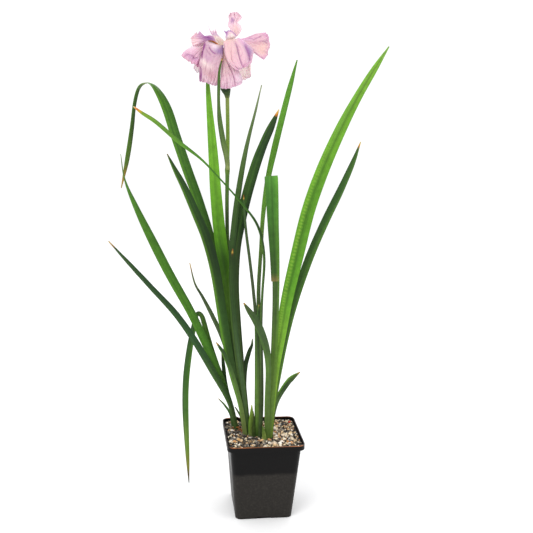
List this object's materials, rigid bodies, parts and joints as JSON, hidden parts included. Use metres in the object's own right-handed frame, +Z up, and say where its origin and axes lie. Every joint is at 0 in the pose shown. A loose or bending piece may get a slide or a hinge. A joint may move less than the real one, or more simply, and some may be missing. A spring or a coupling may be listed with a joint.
{
  "type": "potted japanese water iris",
  "caption": "Japanese water iris with sword leaves and a ruffled pale lilac flower on a tall stem, growing in a square black plastic nursery pot topped with grit.",
  "frame": {"origin": "middle of the pot's underside, on the surface it stands on", "axes": "+Z up through the pot, -Y towards the front, +X to the right as seen from the front"},
  "size_m": [0.3131, 0.1292, 0.5794],
  "materials": {
    "black_plastic": "satin",
    "compost": "matte",
    "grit": "matte",
    "bright_leaf": "satin",
    "dark_leaf": "satin",
    "stem": "satin",
    "petal": "matte",
    "style": "matte",
    "stamen": "matte"
  },
  "bodies": {
    "root": {"pot": "black_plastic", "compost": "compost", "gravel": "grit", "leaf_left_long": "bright_leaf", "leaf_left_low": "dark_leaf", "leaf_left_folded": "dark_leaf", "leaf_left_short": "dark_leaf", "leaf_arching": "bright_leaf", "leaf_middle_dark": "dark_leaf", "leaf_behind_flower": "bright_leaf", "leaf_middle_thin": "dark_leaf", "leaf_middle_wide": "dark_leaf", "leaf_middle_narrow": "dark_leaf", "leaf_middle_hooked": "dark_leaf", "leaf_middle_spike": "dark_leaf", "leaf_middle_outer": "dark_leaf", "leaf_centre_short": "dark_leaf", "leaf_centre_thin": "dark_leaf", "leaf_centre_tall": "bright_leaf", "leaf_crossing": "bright_leaf", "leaf_right_inner": "dark_leaf", "leaf_right_tall": "bright_leaf", "leaf_right_dark": "dark_leaf", "leaf_right_folded": "bright_leaf", "leaf_right_small": "dark_leaf", "shoot_left": "dark_leaf", "shoot_back": "dark_leaf", "shoot_middle": "bright_leaf", "shoot_dark": "dark_leaf", "shoot_pale": "bright_leaf", "flower_stem": "stem", "flower_cup": "dark_leaf", "flower_tube": "petal", "bract": "stem", "petal_left": "petal", "petal_front_left": "petal", "petal_front": "petal", "petal_right_front": "petal", "petal_right": "petal", "petal_upright": "petal", "petal_back_right": "petal", "petal_back_left": "petal", "style_left": "style", "style_right": "style", "style_back": "style", "stamen_left": "stamen", "stamen_right": "stamen", "stamen_back": "stamen"}
  },
  "joints": []
}
